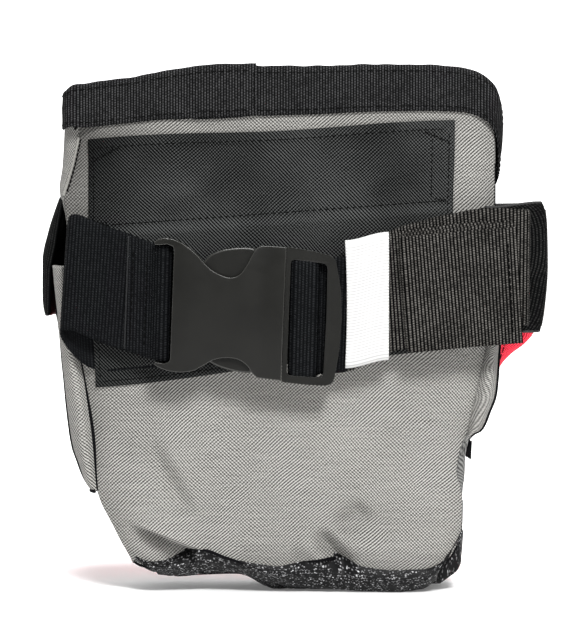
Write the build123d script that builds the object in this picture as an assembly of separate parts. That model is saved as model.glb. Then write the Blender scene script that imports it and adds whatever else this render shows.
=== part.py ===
"""Waist-belt dive pouch: a soft cloth pouch with a draining mesh bottom, a front pocket, and a
webbing belt that runs through a tunnel on its back and closes with a side-release buckle.

Frame: millimetres, +Z up, +Y towards the front of the pouch, so the back panel and the buckle
face -Y. While it is drawn, the back panel lies in the plane Y = 0. The finished part stands on
its mesh bottom, with the origin under the middle of its outline.
"""
from build123d import *
from math import cos, pi, radians, sin
import os

# ---- driving dimensions -------------------------------------------------------------------
WEBBING = 50.0  # width of the belt webbing
WEB_T = 1.6  # thickness of the webbing
CLOTH = 1.5  # thickness of the coated pouch cloth
PANEL_T = 1.2  # thickness of the belt tunnel panel
GAP = 0.3  # clearance between pieces that move past each other

ORIGIN = (-5.0, -36.6, 0.0)  # moves the pouch so the origin is under the middle of its outline
HEM = 12.0  # height at which the mesh bottom meets the cloth
SHOULDER = 205.0  # above this the walls stand straight, up to the rim
WALL_TOP = 229.5
RIM_TOP = 232.0
RIM_DROP = 25.0  # visible height of the folded rim webbing
CORNER = 14.0  # corner radius of the pouch, seen from above
SEAM_INSET = 7.0  # the side seams lie this far inside the silhouette

# height, left edge, right edge, depth of the pouch body
BODY = [
    (0, -60, 66, 50),
    (22, -67, 77, 60),
    (46, -81, 79, 66),
    (97, -93, 92, 72),
    (SHOULDER, -95, 94, 73),
]
# the same for the outside of the front pocket, which wraps the front and both sides
POCKET = [
    (46, -82, 80, 67.5),
    (62, -88.5, 84, 78),
    (97, -97, 95, 90),
    (117, -103, 111, 94),
    (172, -105, 115, 95),
]
POCKET_REAR = 20.0  # the pocket starts this far in front of the back panel
POCKET_SEAM = 42.0  # the grey gusset ends here, and the coloured panel begins
POCKET_BAND = 117.0  # underside of the webbing band round the pocket's mouth

TUNNEL = Location((-4, 0, 150), (0, -3, 0))  # the belt tunnel panel's own frame
TUNNEL_W = 158.0
TUNNEL_TOP, TUNNEL_BOTTOM = 52.0, -55.0  # in the panel's frame
TUNNEL_ROOF, TUNNEL_FLOOR = 10.5, -51.5  # the seams that the belt runs between
TUNNEL_DEEP = 2.6  # free depth behind the panel

# The buckle's own frame: X along the belt, Z across it, -Y outwards.
BUCKLE = Location((0, -15.5, 123.5)) * Rot(0, 4.5, 0)
HALF_W = 29.3  # half the buckle's width
HALF_T = 6.3  # half its thickness
CAVITY_T = 3.9  # half the free height inside the socket
COLLAR_W = 22.0  # half the width of the socket's mouth
MOUTH_X = 0.6  # the mouth's plane
SHOULDER_X = -12.0  # the latch arms catch behind this plane
SOCKET_X = -46.5  # the socket's blind end
BAR_X, BAR_Y, BAR_R = -51.0, 2.0, 2.0  # the sewn webbing's bar
FRAME_X = 27.0  # outer end of the plug's webbing frame
SLOT_W = 25.7  # half the length of the webbing slots
ARM_PIVOT = (-1.4, 17.0)  # root of a latch arm, in X and Z
ARM_T = 3.2  # half the thickness of a latch arm

BELT_SPLIT = 20.0  # inside the tunnel the fixed and the adjustable webbing meet here
BELT_Y = -1.3  # the belt's middle plane inside the tunnel


# ---- helpers ------------------------------------------------------------------------------
def block(x0, x1, y0, y1, z0, z1):
    """A box between the given limits."""
    centre = ((x0 + x1) / 2, (y0 + y1) / 2, (z0 + z1) / 2)
    return Pos(*centre) * Box(x1 - x0, y1 - y0, z1 - z0)


def between(z0, z1):
    """A slab of space between two heights."""
    return block(-200, 200, -100, 200, z0, z1)


def section(row, grow):
    """One rounded cross-section of a body table, grown outwards."""
    z, left, right, deep = row
    size = (right - left + 2 * grow, deep + 2 * grow)
    return Pos((left + right) / 2, deep / 2, z) * RectangleRounded(*size, CORNER + grow)


def body(table, grow=0.0):
    """The closed outer form that a table of cross-sections describes."""
    return loft([section(row, grow) for row in table], ruled=True)


def upright(grow, z0, z1):
    """A straight-walled slice with the pouch's rim outline."""
    _, left, right, deep = BODY[-1]
    return extrude(section((z0, left, right, deep), grow), z1 - z0)


def seam_prism(y0, y1):
    """Everything between the left and right side seams, for one range of depth."""
    table = BODY + [(RIM_TOP, *BODY[-1][1:])]
    left = [(row[1] + SEAM_INSET, row[0]) for row in table]
    right = [(row[2] - SEAM_INSET, row[0]) for row in reversed(table)]
    outline = Plane.XZ * make_face(Polyline(*left, *right, close=True))
    return Pos(0, y0, 0) * extrude(outline, -(y1 - y0))


def ribbon(stations):
    """Webbing laid along stations, each a centre point and the direction across the webbing."""
    sections = []
    for i, (point, across) in enumerate(stations):
        before = stations[max(i - 1, 0)][0]
        after = stations[min(i + 1, len(stations) - 1)][0]
        along = after - before
        along = (along - across * along.dot(across)).normalized()
        plane = Plane(origin=point, x_dir=across, z_dir=along)
        sections.append(plane * Rectangle(WEBBING, WEB_T))
    return loft(sections, ruled=True)


def turn(centre, radius, start, end, steps):
    """Points on an arc in a plane of constant third coordinate; angles in degrees."""
    angles = [radians(start + (end - start) * i / steps) for i in range(steps + 1)]
    return [(centre[0] + radius * cos(a), centre[1] + radius * sin(a)) for a in angles]


def in_buckle(x, y, z=0.0):
    """A point of the buckle's frame, in the pouch's frame."""
    return (BUCKLE * Pos(x, y, z)).position


# ---- pouch --------------------------------------------------------------------------------
def pouch_cloth():
    """The cloth body cut along its seams, and the mesh bottom."""
    outer = body(BODY) + upright(0, SHOULDER, WALL_TOP)
    inner = body(BODY, -CLOTH) & between(CLOTH, SHOULDER)
    inner += upright(-CLOTH, SHOULDER, RIM_TOP)
    shell = outer - inner
    cloth = shell & between(HEM, RIM_TOP)
    middle = BODY[-1][3] / 2
    back = cloth & seam_prism(-20, middle)
    front = cloth & seam_prism(middle, 120)
    sides = cloth - seam_prism(-20, 120)
    return {
        "back_panel": back,
        "front_panel": front,
        "left_gusset": sides & block(-200, 0, -50, 150, 0, 300),
        "right_gusset": sides & block(0, 200, -50, 150, 0, 300),
        "mesh_bottom": shell & between(0, HEM),
    }


def rim():
    """The webbing folded over the rim, and the flat plastic strip that it holds in place."""
    strip = 1.0
    low = RIM_TOP - RIM_DROP
    inside = -(CLOTH + strip)
    cavity = upright(0, low, WALL_TOP + 0.5) - upright(inside, low, WALL_TOP + 0.5)
    webbing = upright(WEB_T, low, RIM_TOP) - upright(inside - WEB_T, low, RIM_TOP)
    stiffener = upright(-CLOTH, low + 4, WALL_TOP) - upright(inside, low + 4, WALL_TOP)
    return {"rim_webbing": webbing - cavity, "rim_stiffener": stiffener}


def front_pocket():
    """A pocket round the front and sides: panel, two side gussets and a webbing mouth band."""
    behind = block(-200, 200, -50, POCKET_REAR, 0, 300)
    behind_inner = block(-200, 200, -50, POCKET_REAR + CLOTH, 0, 300)
    wall = body(POCKET) - behind
    wall -= body(POCKET, -CLOTH) - behind_inner
    wall -= body(BODY)
    lower = wall & between(0, POCKET_BAND)
    gussets = lower & block(-200, 200, 0, POCKET_SEAM, 0, 300)
    return {
        "front_pocket_panel": lower - block(-200, 200, 0, POCKET_SEAM, 0, 300),
        "front_pocket_left_gusset": gussets & block(-200, 0, 0, 100, 0, 300),
        "front_pocket_right_gusset": gussets & block(0, 200, 0, 100, 0, 300),
        "front_pocket_mouth_band": wall & between(POCKET_BAND, 200),
    }


def seam_piping():
    """Bound edges of the lower side seams, on the back of the pouch."""
    wide, low, high = 2.6, 26.0, 84.0
    cut = between(low, high)
    rows = [BODY[1], BODY[2], BODY[3]]
    pieces = {}
    for name, column, sign in (("left", 1, 1), ("right", 2, -1)):
        inner = [(row[column] + sign * (SEAM_INSET + wide / 2), row[0]) for row in rows]
        outer = [(row[column] + sign * (SEAM_INSET - wide / 2), row[0]) for row in reversed(rows)]
        strip = Plane.XZ * make_face(Polyline(*inner, *outer, close=True))
        pieces[f"seam_piping_{name}"] = extrude(strip, PANEL_T) & cut
    return pieces


def belt_tunnel():
    """The panel sewn on the back, raised between two seams so the belt can pass behind it."""
    rise = 3.0
    face = -TUNNEL_DEEP
    profile = [
        (0, TUNNEL_TOP),
        (0, TUNNEL_ROOF + rise),
        (face, TUNNEL_ROOF),
        (face, TUNNEL_FLOOR),
        (0, TUNNEL_FLOOR - rise / 2),
        (0, TUNNEL_BOTTOM),
        (-PANEL_T, TUNNEL_BOTTOM),
        (-PANEL_T, TUNNEL_FLOOR - rise / 2 - 0.5),
        (face - PANEL_T, TUNNEL_FLOOR - 0.5),
        (face - PANEL_T, TUNNEL_ROOF + 0.5),
        (-PANEL_T, TUNNEL_ROOF + rise + 0.5),
        (-PANEL_T, TUNNEL_TOP),
    ]
    outline = Plane.YZ * make_face(Polyline(*profile, close=True))
    panel = Pos(-TUNNEL_W / 2, 0, 0) * extrude(outline, TUNNEL_W)
    tacks = []
    for side in (-1, 1):
        for z, lean in ((TUNNEL_TOP - 10, 45), (TUNNEL_ROOF + 9, 0)):
            place = Pos(side * (TUNNEL_W / 2 - 9), -PANEL_T - 0.25, z) * Rot(0, side * lean, 0)
            tacks.append(TUNNEL * place * Box(12, 0.5, 1.8))
    return {"belt_tunnel_panel": TUNNEL * panel, "tunnel_bar_tacks": Compound(tacks)}


# ---- buckle -------------------------------------------------------------------------------
def socket_outline():
    """Half of the socket's outline, from the mouth round the finger cut-out to the horn."""
    curve = [(-11, HALF_W), (-14, 21), (-21.5, 16.5), (-30, 18.5), (-39, 24.5), (-53, HALF_W)]
    top = Line((MOUTH_X, HALF_W), curve[0])
    scoop = Spline(*curve, tangents=[(-0.35, -1), (-1, 0.15)])
    horn = ThreePointArc(curve[-1], (-54, 27.7), (-53, 26.2))
    under = Polyline((-53, 26.2), (SOCKET_X, 26.2), (SOCKET_X, 0))
    edge = Polyline((SOCKET_X, 0), (MOUTH_X, 0), (MOUTH_X, HALF_W))
    return make_face(Curve() + [top, scoop, horn, under, edge])


def buckle_socket():
    """The female half: a flat shell with side windows and a bar for the sewn webbing."""
    half = Plane.XZ * socket_outline()
    upper = Pos(0, HALF_T, 0) * extrude(half, 2 * HALF_T)
    shell = upper + mirror(upper, Plane.XY)
    shell &= Plane.YZ * Pos(0, 0, -60) * extrude(RectangleRounded(2 * HALF_T, 2 * HALF_W, 2.5), 70)
    cavity = block(-38, SHOULDER_X, -CAVITY_T, CAVITY_T, -25.6, 25.6)
    mouth = block(SHOULDER_X - 1, MOUTH_X + 5, -CAVITY_T, CAVITY_T, -COLLAR_W, COLLAR_W)
    bar = Pos(BAR_X, BAR_Y, 0) * Cylinder(BAR_R, 2 * 26.6)
    return BUCKLE * (shell - cavity - mouth + bar)


def buckle_plug():
    """The male half without its latch arms: a ladder-lock frame and a guide tongue."""
    left = MOUTH_X + GAP
    depth = 3.5
    plate = Plane.XZ * (Pos((left + FRAME_X) / 2, 0) * Rectangle(FRAME_X - left, 2 * HALF_W))
    frame = Pos(0, depth, 0) * extrude(plate, 2 * depth)
    frame = fillet(frame.edges().filter_by(Axis.Y).group_by(Axis.X)[-1], 7)
    frame = fillet(frame.faces().sort_by(Axis.Y)[0].edges(), 1.2)
    frame -= block(2.7, 19, -10, 10, -SLOT_W, SLOT_W)
    frame -= block(18, FRAME_X + 1, 0.5, 10, -SLOT_W, SLOT_W)
    bar = block(5.5, 13.5, -2.5, 0.5, -SLOT_W, SLOT_W)
    bar = fillet(bar.edges().filter_by(Axis.Z), 1.3)
    tongue = block(-34, left, -ARM_T, ARM_T, -3, 3)
    tongue = fillet(tongue.edges().filter_by(Axis.Y).group_by(Axis.X)[0], 2.4)
    return BUCKLE * (frame + bar + tongue)


def latch_arm(side):
    """One sprung latch arm; side is 1 above and -1 below."""
    x, z = ARM_PIVOT
    outer = Spline((-12.6, 25.8), (-23, 24.4), (-33.5, 20.2), tangents=[(-1, 0.05), (-1, -0.55)])
    neck = Polyline((x, z + 2), (-12.6, 20.6), (-12.6, 25.8))
    tip = ThreePointArc((-33.5, 20.2), (-34.6, 18.6), (-33, 17.4))
    inner = Polyline((-33, 17.4), (-14, 16.6), (x, z - 2))
    root = ThreePointArc((x, z - 2), (x + 2, z), (x, z + 2))
    outline = make_face(Curve() + [neck, outer, tip, inner, root])
    arm = Pos(0, ARM_T, 0) * extrude(Plane.XZ * outline, 2 * ARM_T)
    return BUCKLE * (arm if side > 0 else mirror(arm, Plane.XY))


# ---- belt ---------------------------------------------------------------------------------
def belt_axis(x):
    """Height of the belt's middle line inside the tunnel."""
    return 129.3 + 0.0875 * x


def lean(share):
    """Crosswise direction between upright (0) and the buckle's own tilt (1)."""
    across = Vector(*in_buckle(0, 0, 1)) - Vector(*in_buckle(0, 0, 0))
    return (Vector(0, 0, 1) * (1 - share) + across * share).normalized()


def fixed_webbing():
    """Sewn round the socket's bar, folded at the left, and laid through the tunnel."""
    sewn = [(-67, 3.1), (-58, 3.1), (-54, -0.2)]
    loop = turn((BAR_X, BAR_Y), BAR_R + 1.0, -115, 115, 8)
    leg = [(-56, 4.9), (-62, 4.9)]
    held = [in_buckle(x, y) for x, y in sewn + loop + leg]
    free = [
        (-72, -10.4, 131.2),
        (-82, -10.0, 134.4),
        (-90, -9.2, 135.6),
        (-94.4, -7.4, 134.6),
        (-95.4, -5.4, 132.6),
        (-94.4, -3.2, 130.0),
        (-91, -1.7, 126.0),
        (-85, BELT_Y, 122.6),
        (-76, BELT_Y, belt_axis(-76)),
        (BELT_SPLIT, BELT_Y, belt_axis(BELT_SPLIT)),
    ]
    tilt = [1] * len(held) + [0.8, 0.6, 0.4, 0.25, 0.15, 0.1] + [0] * 4
    points = [Vector(*p) for p in held + free]
    return ribbon([(p, lean(t)) for p, t in zip(points, tilt)])


def adjustable_webbing():
    """From the tunnel round the right fold, and over the plug's bar."""
    start = BELT_SPLIT + 0.5
    back = [
        (start, BELT_Y, belt_axis(start)),
        (80, BELT_Y, belt_axis(80)),
        (95, -1.8, 138.0),
        (102, -2.6, 138.8),
        (105.4, -4.6, 138.4),
        (106.0, -7.0, 137.8),
        (104.6, -9.2, 137.0),
        (100, -10.6, 136.2),
        (52, -11.6, 129.6),
        (42, -11.8, 126.2),
        (31, -11.8, 122.6),
    ]
    live = 3.8
    leg = [(24, live), (8, live)]
    rise = turn((6.0, live - 2.0), 2.0, 90, 180, 3) + turn((6.0, -1.5), 2.0, 180, 270, 3)
    fall = turn((13.0, -1.5), 2.0, 270, 360, 3)
    tail = turn((17.0, 0.0), 2.0, 180, 90, 3)
    wrap = [in_buckle(x, y) for x, y in leg + rise + fall + tail + [(24, 2.0)]]
    out = [(31, -13.6, 122.6), (42, -13.7, 126.2), (52, -13.4, 129.6), (98, -12.4, 135.2)]
    tilt = [0, 0, 0.05, 0.1, 0.15, 0.2, 0.25, 0.3, 0.5, 0.7, 0.9]
    tilt += [1] * len(wrap) + [0.9, 0.7, 0.5, 0.35]
    points = [Vector(*p) for p in back + wrap + out]
    return ribbon([(p, lean(t)) for p, t in zip(points, tilt)])


def belt_tail():
    """The spare webbing, folded to and fro on top of the adjustable leg."""
    fold = [(x, y, 130.6) for x, y in turn((55.0, -16.4), 1.0, 90, 270, 6)]
    points = [(98.8, -14.3, 135.4), *fold, (75, -16.8, 132.4), (102, -16.1, 135.6)]
    return ribbon([(Vector(*p), lean(0.35)) for p in points])


def strap_keeper():
    """The band round the webbing beside the plug."""
    wide, deep, high, thick = 16.0, 5.0, 56.4, 0.6
    place = Location((39, -12.7, 125.25))
    outer = Box(wide, deep + 2 * thick, high + 2 * thick)
    return place * (outer - Box(wide + 1, deep, high))


def belt():
    """Every piece that rides on the belt."""
    return {
        "belt_webbing_fixed": fixed_webbing(),
        "belt_webbing_adjustable": adjustable_webbing(),
        "belt_tail": belt_tail(),
        "strap_keeper": strap_keeper(),
        "buckle_socket": buckle_socket(),
        "buckle_plug": buckle_plug(),
        "latch_arm_upper": latch_arm(1),
        "latch_arm_lower": latch_arm(-1),
    }


def pouch():
    """Every piece that belongs to the pouch."""
    return {**pouch_cloth(), **rim(), **front_pocket(), **seam_piping(), **belt_tunnel()}


def main():
    os.makedirs("parts", exist_ok=True)
    for name, shape in {**pouch(), **belt()}.items():
        export_step(Pos(*ORIGIN) * shape, f"parts/{name}.step")


if __name__ == "__main__":
    main()
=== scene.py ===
"""Looks for the waist belt pouch: soft cloth pouch, belt, buckle, floor, light and camera.

Lengths are in millimetres in the drawing frame of the CAD source, where the back panel lies in
the plane y = 0 and -y faces the camera. place() turns them into the row frame, in metres.
"""
import bmesh
import bpy
import math
import numpy as np
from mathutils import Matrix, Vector


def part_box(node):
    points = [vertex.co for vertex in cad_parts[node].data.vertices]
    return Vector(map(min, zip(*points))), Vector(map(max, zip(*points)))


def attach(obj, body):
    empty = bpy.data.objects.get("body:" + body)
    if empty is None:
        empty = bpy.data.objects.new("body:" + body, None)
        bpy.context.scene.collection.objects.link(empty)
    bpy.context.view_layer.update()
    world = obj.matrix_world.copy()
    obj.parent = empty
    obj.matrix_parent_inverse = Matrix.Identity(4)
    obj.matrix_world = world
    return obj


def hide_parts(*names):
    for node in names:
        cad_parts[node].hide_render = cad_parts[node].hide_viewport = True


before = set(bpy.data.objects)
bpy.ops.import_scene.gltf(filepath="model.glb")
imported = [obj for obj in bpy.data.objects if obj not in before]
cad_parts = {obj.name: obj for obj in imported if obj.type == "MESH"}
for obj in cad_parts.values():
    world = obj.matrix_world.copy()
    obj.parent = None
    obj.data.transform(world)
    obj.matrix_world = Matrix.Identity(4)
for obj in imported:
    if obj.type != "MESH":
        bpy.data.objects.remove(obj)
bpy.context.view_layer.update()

LOW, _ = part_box("back_panel")
SHIFT = np.array([LOW[0] * 1000 + 88.0, LOW[1] * 1000, 0.0])
POUCH, SOCKET_SIDE, PLUG_SIDE = "pouch", "belt_socket_side", "belt_plug_side"


# ---- numbers along curves ----
def smooth(t):
    t = np.clip(t, 0.0, 1.0)
    return t * t * (3 - 2 * t)


def curve(table):
    """A smooth function through (input, value) rows, with no overshoot."""
    xs = np.array([row[0] for row in table], float)
    ys = np.array([row[1] for row in table], float)
    h, d = np.diff(xs), np.diff(ys) / np.diff(xs)
    m = np.zeros_like(ys)
    m[0], m[-1] = d[0], d[-1]
    for i in range(1, len(xs) - 1):
        if d[i - 1] * d[i] > 0:
            w1, w2 = 2 * h[i] + h[i - 1], h[i] + 2 * h[i - 1]
            m[i] = (w1 + w2) / (w1 / d[i - 1] + w2 / d[i])

    def read(x):
        x = np.clip(np.asarray(x, float), xs[0], xs[-1])
        i = np.clip(np.searchsorted(xs, x, side="right") - 1, 0, len(xs) - 2)
        t = (x - xs[i]) / h[i]
        a, b = (1 + 2 * t) * (1 - t) ** 2, t * (1 - t) ** 2
        c, e = t * t * (3 - 2 * t), t * t * (t - 1)
        return a * ys[i] + b * h[i] * m[i] + c * ys[i + 1] + e * h[i] * m[i + 1]

    return read


def lengths(line):
    """Distance along a line of points, from its start."""
    return np.concatenate([[0], np.cumsum(np.linalg.norm(np.diff(line, axis=0), axis=1))])


def pick(line, at, s):
    """A line's points at the distances s, where at holds the distance of each of its own points."""
    return np.stack([np.interp(s, at, column) for column in np.asarray(line).T], 1)


def spline(points, step):
    """Points every step along a smooth line through rows of numbers; the first three are a place."""
    p = np.array(points, float)
    p = np.vstack([2 * p[0] - p[1], p, 2 * p[-1] - p[-2]])
    gaps = np.maximum(np.linalg.norm(np.diff(p[:, :3], axis=0), axis=1), 1e-6) ** 0.5
    knots = np.concatenate([[0], np.cumsum(gaps)])
    out = []
    for i in range(1, len(p) - 2):
        t0, t1, t2, t3 = knots[i - 1 : i + 3]
        t = np.linspace(t1, t2, 40, endpoint=False)[:, None]
        a1 = (t1 - t) / (t1 - t0) * p[i - 1] + (t - t0) / (t1 - t0) * p[i]
        a2 = (t2 - t) / (t2 - t1) * p[i] + (t - t1) / (t2 - t1) * p[i + 1]
        a3 = (t3 - t) / (t3 - t2) * p[i + 1] + (t - t2) / (t3 - t2) * p[i + 2]
        b1 = (t2 - t) / (t2 - t0) * a1 + (t - t0) / (t2 - t0) * a2
        b2 = (t3 - t) / (t3 - t1) * a2 + (t - t1) / (t3 - t1) * a3
        out.append((t2 - t) / (t2 - t1) * b1 + (t - t1) / (t2 - t1) * b2)
    line = np.vstack([*out, p[-2]])
    along = lengths(line[:, :3])
    at = np.linspace(0, along[-1], max(2, int(round(along[-1] / step)) + 1))
    return pick(line, along, at), at


def arc(cx, cy, rad, start, end, steps=9):
    turns = np.radians(np.linspace(start, end, steps))
    return [(cx + rad * math.cos(a), cy + rad * math.sin(a)) for a in turns]


def evenly(path, count):
    """An outline in plan at even steps: x, y, the outward direction, and the distance along it."""
    line = np.array(path)
    at = lengths(line)
    s = np.linspace(0, at[-1], count)
    x, y = pick(line, at, s).T
    nx, ny = np.gradient(y), -np.gradient(x)
    size = np.hypot(nx, ny) + 1e-9
    return x, y, nx / size, ny / size, s


def pack(*axes):
    """Coordinates as one array whose last axis runs over them."""
    return np.stack(np.broadcast_arrays(*axes), -1)


def wobble(*axes, scale, seed=0):
    """Soft repeatable noise from a few crossed sine waves, from -1 to 1."""
    g = np.random.default_rng(seed)
    total = 0.0
    for _ in range(7):
        phase = g.uniform(0, 6.28)
        for axis in axes:
            phase = phase + np.asarray(axis) * g.normal() * 6.28 / scale
        total = total + np.sin(phase)
    return total / 7 * 1.6


# ---- meshes ----
def place(points):
    return (np.asarray(points, float).reshape(-1, 3) + SHIFT) / 1000.0


def add(name, data):
    obj = bpy.data.objects.new(name, data)
    bpy.context.scene.collection.objects.link(obj)
    return obj


def add_mesh(name, points, faces, *materials):
    mesh = bpy.data.meshes.new(name)
    mesh.from_pydata([tuple(map(float, p)) for p in points], [], [tuple(map(int, f)) for f in faces])
    mesh.polygons.foreach_set("use_smooth", [True] * len(faces))
    for material in materials:
        mesh.materials.append(material)
    return add(name, mesh)


def piece(name, points, faces, material, body, replaces=(), uv=None):
    """A mesh that rides on a CAD body. uv holds one pair per point, in millimetres."""
    obj = add_mesh(name, place(points), faces, material)
    if uv is not None:
        layer = obj.data.uv_layers.new(name="cloth")
        corner = np.zeros(len(obj.data.loops), np.int32)
        obj.data.loops.foreach_get("vertex_index", corner)
        layer.data.foreach_set("uv", np.asarray(uv, np.float32)[corner].ravel())
    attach(obj, body)
    if replaces:
        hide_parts(*replaces)
    return obj


def quads(rows, columns, flip=False):
    """Faces of a grid whose point number is row * columns + column."""
    r, c = np.meshgrid(np.arange(rows - 1), np.arange(columns - 1), indexing="ij")
    a = (r * columns + c).ravel()
    order = (a, a + 1, a + columns + 1, a + columns)
    return np.stack(order[::-1] if flip else order, 1).tolist()


def unrolled(points, s):
    """Flat coordinates of a grid: s along its rows, and the mean distance between them."""
    steps = np.linalg.norm(np.diff(points, axis=0), axis=2).mean(1)
    return pack(s[None, :], np.concatenate([[0], np.cumsum(steps)])[:, None])


def skin(rows, columns):
    """Faces of a closed tube made of rings of points, with both ends capped."""
    i, j = np.meshgrid(np.arange(rows - 1), np.arange(columns), indexing="ij")
    a, b = (i * columns + j).ravel(), (i * columns + (j + 1) % columns).ravel()
    faces = np.stack([a, b, b + columns, a + columns], 1).tolist()
    return faces + [list(range(columns))[::-1], list(range((rows - 1) * columns, rows * columns))]


def cloth(name, points, uv, material, node, thick=1.2, flip=False, lining=None, body=POUCH):
    """A grid of points (rows, columns, 3) given a cloth's thickness behind its outer face."""
    faces = quads(*points.shape[:2], flip)
    obj = piece(name, points, faces, material, body, [node], uv.reshape(-1, 2))
    solid = obj.modifiers.new("thickness", "SOLIDIFY")
    solid.thickness, solid.offset = thick / 1000, -1.0
    solid.use_even_offset = False
    if lining:
        obj.data.materials.append(lining)
        solid.material_offset = 1


def tube(points, radius, sides=8):
    """Points and faces of a closed tube along a line."""
    p = np.asarray(points, float)
    along = np.gradient(p, axis=0)
    along /= np.linalg.norm(along, axis=1)[:, None] + 1e-12
    up = np.cross(along, [0.31, 0.17, 0.93])
    up /= np.linalg.norm(up, axis=1)[:, None] + 1e-12
    side = np.cross(along, up)
    a = np.linspace(0, 2 * np.pi, sides, endpoint=False)[None, :, None]
    r = np.broadcast_to(np.asarray(radius, float), (len(p),))[:, None, None]
    ring = np.cos(a) * up[:, None] + np.sin(a) * side[:, None]
    return (p[:, None] + ring * r).reshape(-1, 3), skin(len(p), sides)


def stitches(line, length=2.4, gap=0.8, radius=0.24):
    """Thread stitches along a closely sampled line, as tubes."""
    at = lengths(line)
    parts, start = [], 1.0
    while start + length < at[-1]:
        p = pick(line, at, start + np.linspace(0, 1, 5) * length)
        parts.append(tube(p, radius * np.array([0.5, 1, 1, 1, 0.5]), 6))
        start += length + gap
    return parts


def tubes(name, parts, material, body, replaces=()):
    """Several tubes as one piece."""
    verts, faces, start = [], [], 0
    for v, f in parts:
        verts.append(v)
        faces += [[i + start for i in face] for face in f]
        start += len(v)
    piece(name, np.vstack(verts), faces, material, body, replaces)


def threads(name, parts, body=POUCH, replaces=()):
    tubes(name, parts, THREAD, body, replaces)


def tapes(name, parts, replaces=()):
    tubes(name, parts, TAPE, POUCH, replaces)


# ---- materials ----
class Term:
    """A value in a material's node tree, so that sums on it can be written as sums."""

    def __init__(self, surface, socket):
        self.surface, self.socket = surface, socket

    def __add__(self, other):
        return self.surface.op("ADD", self, other)

    def __sub__(self, other):
        return self.surface.op("SUBTRACT", self, other)

    def __rsub__(self, other):
        return self.surface.op("SUBTRACT", other, self)

    def __mul__(self, other):
        return self.surface.op("MULTIPLY", self, other)

    def __truediv__(self, other):
        return self.surface.op("DIVIDE", self, other)


class Surface:
    """A procedural material built from small sums on the piece's own flat coordinates."""

    def __init__(self, name, rough, sheen=0.0, specular=0.5):
        self.material = bpy.data.materials.new(name)
        self.material.use_nodes = True
        self.tree = self.material.node_tree
        self.shader = self.tree.nodes["Principled BSDF"]
        self.shader.inputs["Roughness"].default_value = rough
        self.shader.inputs["Specular IOR Level"].default_value = specular
        if sheen:
            self.shader.inputs["Sheen Weight"].default_value = sheen
            self.shader.inputs["Sheen Roughness"].default_value = 0.5

    def feed(self, node, inputs):
        for key, value in inputs.items():
            if isinstance(value, Term):
                self.tree.links.new(value.socket, node.inputs[key])
            else:
                node.inputs[key].default_value = value

    def node(self, kind, inputs, output=0, **settings):
        made = self.tree.nodes.new("ShaderNode" + kind)
        for key, value in settings.items():
            setattr(made, key, value)
        self.feed(made, inputs)
        return Term(self, made.outputs[output])

    def op(self, kind, a, b=0.0):
        return self.node("Math", {0: a, 1: b}, operation=kind)

    def flat(self):
        """The cloth's own coordinates in millimetres: along, across, and both as a vector."""
        uv = self.node("UVMap", {}, uv_map="cloth")
        u, v = (self.node("SeparateXYZ", {0: uv}, k) for k in (0, 1))
        return u, v, self.join(u, v)

    def solid(self):
        return self.node("TexCoord", {}, "Object")

    def join(self, u, v):
        return self.node("CombineXYZ", {0: u, 1: v})

    def wave(self, x, pitch=2 * math.pi):
        """A sine of x with that pitch, from 0 to 1."""
        return self.op("SINE", x * (2 * math.pi / pitch)) * 0.5 + 0.5

    def noise(self, vector, scale, detail=2.0, rough=0.5):
        return self.node("TexNoise", {"Vector": vector, "Scale": scale, "Detail": detail, "Roughness": rough})

    def random(self, vector):
        return self.node("TexWhiteNoise", {"Vector": vector}, noise_dimensions="3D")

    def mix(self, share, a, b):
        a, b = (x if isinstance(x, Term) else (*x, 1.0) for x in (a, b))
        return self.node("Mix", {0: share, 6: a, 7: b}, 2, data_type="RGBA", clamp_factor=True)

    def span(self, value, low, high, to_low=0.0, to_high=1.0):
        ends = {"From Min": low, "From Max": high, "To Min": to_low, "To Max": to_high}
        return self.node("MapRange", {"Value": value, **ends}, interpolation_type="SMOOTHSTEP")

    def finish(self, colour, height, depth, strength, rough=None):
        """Joins a colour and a bump of that depth in millimetres to the shader."""
        normal = self.node("Bump", {"Height": height, "Distance": depth / 1000, "Strength": strength})
        self.feed(self.shader, {"Base Color": colour, "Normal": normal})
        if rough:
            self.feed(self.shader, {"Roughness": rough})
        return self.material


def oxford(
    name, dark, light, first=0.62, second=0.26, rough=0.85, sheen=0.03, wear_and_sheen=0.10, specular=0.12, contrast=1.5,
    painted_shade=0.0,
):
    """Coarse plain-woven oxford: its crossings line up as two sets of slanted lines."""
    s = Surface(name, rough, sheen, specular)
    u, v, flat = s.flat()
    wander = s.noise(flat, 0.035, 1.0) * 3.0
    turn = s.span(s.noise(flat, 0.028, 1.0), 0.38, 0.62, -0.22, 0.22)
    rising = (s.wave(u * 0.66 - v * 0.75 + wander, 1.12) - 0.5) * (turn + first)
    falling = (s.wave(u * 0.72 + v * 0.70 + wander, 1.09) - 0.5) * (second - turn)
    weave = rising + falling + rising * falling * 1.6
    fine = s.noise(flat, 1.7)
    slub = s.noise(s.join(u * 0.06, v), 0.9, 1.0)
    share = weave * contrast + 0.5 + (fine * 1.1 - 0.55) + (slub * 0.24 - 0.12)
    # Broad lighter and darker patches: soiling where the share is small, and a painted sheen highlight where it is
    # large, as on the black cloth.
    share = share * (s.span(s.noise(flat, 0.016, 3.0), 0.35, 0.7) * wear_and_sheen + (1 - wear_and_sheen / 2))
    # Painted shade: the colour is darkened towards the top, from 140 to 205 mm up, and towards the left edge, more so
    # higher up.
    side = s.span(u, -92, -40, 1.0, 0.0) * s.span(v, 60, 175, 0.5, 1.6)
    painted_shade_share = (s.span(v, 140, 205, 0.0, 0.7) + side) * painted_shade
    return s.finish(s.mix(share * (1.0 - painted_shade_share), dark, light), weave + fine * 0.3, 0.18, 0.6)


RIB = 1.48  # from rib to rib on the belt webbing
BEAD = 1.05  # from bead to bead along a rib


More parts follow.
